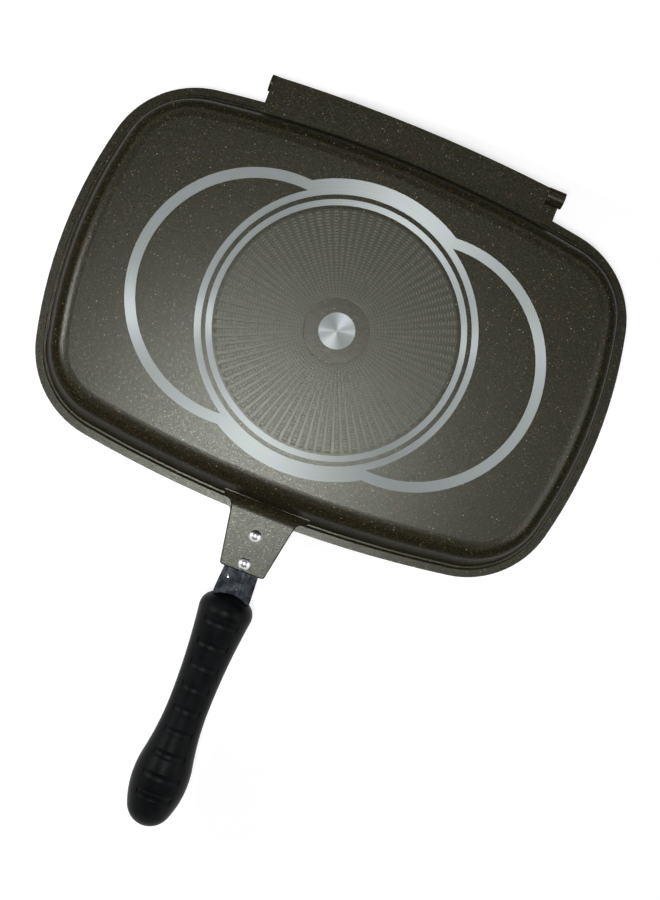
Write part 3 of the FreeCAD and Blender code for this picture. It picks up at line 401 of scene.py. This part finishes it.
def silicone():
    """Matte dark grey silicone with a trace of dust."""
    material, tree, inputs, place = new_material("silicone")
    dust = noise(tree, place, **DUST)
    shade = ramp(tree, dust, *DUST_RANGE)
    feed(tree, inputs["Base Color"], blend_colours(tree, shade, SILICONE_DARK, SILICONE_DUSTY))
    feed(tree, inputs["Roughness"], spread(tree, dust, *SILICONE_ROUGHNESS))
    feed(tree, inputs["Normal"], bump(tree, noise(tree, place, **SKIN), SKIN_DEPTH))
    return material


# Dressing the parts

HALVES = ("lower", "upper")
SIDES = ("left", "right")

# Bare metal goes on the faces this near the plane that a base stands on, as a second material
LEVEL_TOLERANCE = 0.02 * MILLIMETRE
BARE_SLOT = 1


def dress(node_name, material):
    """Give a node one material."""
    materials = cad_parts[node_name].data.materials
    materials.clear()
    materials.append(material)


def bare_ring_faces(node_name, material):
    """Give the faces on a base's standing plane the bare metal."""
    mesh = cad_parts[node_name].data
    low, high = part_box(node_name)
    level = low.z if node_name.startswith("lower") else high.z
    mesh.materials.append(material)
    for face in mesh.polygons:
        if all(abs(mesh.vertices[corner].co.z - level) < LEVEL_TOLERANCE for corner in face.vertices):
            face.material_index = BARE_SLOT


def dress_parts():
    """Give every node its finish."""
    coating = stone_coating()
    turned = turned_metal()
    steel = rolled_steel()
    phenolic = black_phenolic()
    rivet_metal = bright_metal("rivet_metal", *RIVET_METAL)
    brass = bright_metal("turned_brass", *TURNED_BRASS)
    screw_metal = bright_metal("screw_metal", *SCREW_METAL)
    for half in HALVES:
        dress(half + "_pan", coating)
        bare_ring_faces(half + "_pan", turned)
        dress(half + "_strap", steel)
        dress(half + "_inner_rivet", rivet_metal)
        dress(half + "_outer_rivet", rivet_metal)
        dress(half + "_grip", phenolic)
        dress(half + "_insert_nut", brass)
        dress(half + "_grip_screw", screw_metal)
    for side in SIDES:
        dress("hinge_pin_" + side, bright_metal("pin_metal_" + side, *PIN_METAL))
    dress("rim_seal", silicone())
    dress("upper_magnet", bright_metal("nickel", *NICKEL))
    dress("lower_keeper", bright_metal("plain_steel", *PLAIN_STEEL))
    dress("upper_magnet_screw", screw_metal)
    dress("lower_keeper_screw", screw_metal)


# Floor: level as far as its bend, which rises all round into a backdrop

FLOOR_DROP = 0.5 * MILLIMETRE
DISC_REACH = 3.0
BEND_START = 6.0
BEND_RADIUS = 2.0
BACKDROP_TOP = 6.0
BEND_STEPS = 12
TURN_STEPS = 72
FLOOR_TONE = {"size": 90.0, "detail": 3.0}
FLOOR_DARK = (0.48, 0.48, 0.48)
FLOOR_LIGHT = (0.50, 0.50, 0.50)
FLOOR_ROUGHNESS = 0.8
GLOW_WHITE = (1.0, 1.0, 1.0)
GLOW_RANGE = (450.0, 2200.0, 0.66, 0.97)


def pale_floor():
    """Even pale grey with a glow that only the camera and reflections see, stronger away from the pan."""
    material, tree, inputs, place = new_material("pale_floor")
    tone = spread(tree, noise(tree, place, **FLOOR_TONE))
    ray = node(tree, "LightPath").outputs
    seen = maths(tree, "MAXIMUM", ray["Is Camera Ray"],
                 maths(tree, "MAXIMUM", ray["Is Glossy Ray"], ray["Is Transmission Ray"]))
    glow = ramp(tree, vector_maths(tree, "LENGTH", place, output="Value"), *GLOW_RANGE)
    feed(tree, inputs["Base Color"], blend_colours(tree, tone, FLOOR_DARK, FLOOR_LIGHT))
    feed(tree, inputs["Roughness"], FLOOR_ROUGHNESS)
    feed(tree, inputs["Emission Color"], GLOW_WHITE)
    feed(tree, inputs["Emission Strength"], maths(tree, "MULTIPLY", seen, glow))
    return material


def floor_profile():
    """Distances from the middle and heights along the floor, its bend and the backdrop."""
    profile = [(DISC_REACH, 0.0)]
    for step in range(BEND_STEPS + 1):
        turn = QUARTER_TURN * step / BEND_STEPS
        profile.append((BEND_START + BEND_RADIUS * math.sin(turn), BEND_RADIUS * (1 - math.cos(turn))))
    return profile + [(BEND_START + BEND_RADIUS, BACKDROP_TOP)]


def floor_mesh():
    """A disc of triangles in the middle, and a band of squares from each ring of the profile to the next."""
    profile = floor_profile()
    corners = [(0.0, 0.0, 0.0)]
    for reach, height in profile:
        for step in range(TURN_STEPS):
            turn = FULL_TURN * step / TURN_STEPS
            corners.append((reach * math.cos(turn), reach * math.sin(turn), height))
    faces = [(0, 1 + step, 1 + (step + 1) % TURN_STEPS) for step in range(TURN_STEPS)]
    for ring in range(len(profile) - 1):
        inner = 1 + ring * TURN_STEPS
        outer = inner + TURN_STEPS
        for step in range(TURN_STEPS):
            following = (step + 1) % TURN_STEPS
            faces.append((inner + step, outer + step, outer + following, inner + following))
    mesh = bpy.data.meshes.new("floor")
    mesh.from_pydata(corners, [], faces)
    for face in mesh.polygons:
        face.use_smooth = True
    return mesh


def add_floor():
    """A pale round floor just under the pan, which looks white where nothing shades it."""
    floor = bpy.data.objects.new("floor", floor_mesh())
    floor.data.materials.append(pale_floor())
    floor.location.z = cad_box[0].z - FLOOR_DROP
    bpy.context.scene.collection.objects.link(floor)


# Light: a faint even world, and lamps that all look at one point in the pan

WORLD_TINT = (0.94, 0.97, 1.0)
WORLD_STRENGTH = 0.10
LAMP_AIM = Vector((0.0, 0.0, 0.05))

# Each lamp's name, place, side of its square, and watts
LAMPS = (
    ("front_lamp", Vector((-0.036, -0.134, 0.95)), 0.08, 4.3),
    ("side_lamp", Vector((-0.85, -0.17, 0.75)), 0.05, 4.5),
    ("fill_lamp", Vector((0.68, -0.10, 0.62)), 0.5, 2.0),
    ("overhead_box", Vector((0.06, 0.05, 1.30)), 0.8, 0.4),
)


def add_lamp(name, place, side, watts):
    """A square lamp that looks at the pan."""
    data = bpy.data.lights.new(name, "AREA")
    data.shape = "SQUARE"
    data.size = side
    data.energy = watts
    lamp = bpy.data.objects.new(name, data)
    lamp.location = place
    lamp.rotation_mode = "QUATERNION"
    lamp.rotation_quaternion = (LAMP_AIM - place).to_track_quat("-Z", "Y")
    bpy.context.scene.collection.objects.link(lamp)


def add_light():
    """The world and the lamps."""
    world = bpy.data.worlds.new("studio")
    bpy.context.scene.world = world
    world.use_nodes = True
    background = world.node_tree.nodes["Background"]
    feed(world.node_tree, background.inputs["Color"], WORLD_TINT)
    feed(world.node_tree, background.inputs["Strength"], WORLD_STRENGTH)
    for lamp in LAMPS:
        add_lamp(*lamp)


# Camera: where it stands, the point in the middle of its picture, and its turn about that line

CAMERA_PLACE = Vector((-0.0138, -0.0539, 0.8000))
CAMERA_AIM = Vector((0.0221, -0.0673, 0.0860))
CAMERA_ROLL = math.radians(21.45)
CAMERA_LENS = 48.0
TOWARDS_HINGE = Vector((0.0, 1.0, 0.0))


def add_camera():
    """The photograph's view: from above, with the pan's long side turned in the picture."""
    data = bpy.data.cameras.new("camera")
    data.lens = CAMERA_LENS
    camera = bpy.data.objects.new("camera", data)
    back = (CAMERA_PLACE - CAMERA_AIM).normalized()
    right = TOWARDS_HINGE.cross(back).normalized()
    upright = Matrix((right, back.cross(right), back)).transposed()
    turned = Matrix.Rotation(CAMERA_ROLL, 3, back) @ upright
    camera.matrix_world = Matrix.Translation(CAMERA_PLACE) @ turned.to_4x4()
    bpy.context.scene.collection.objects.link(camera)
    bpy.context.scene.camera = camera
    bpy.context.scene.view_settings.view_transform = "Standard"


dress_parts()
add_floor()
add_light()
add_camera()
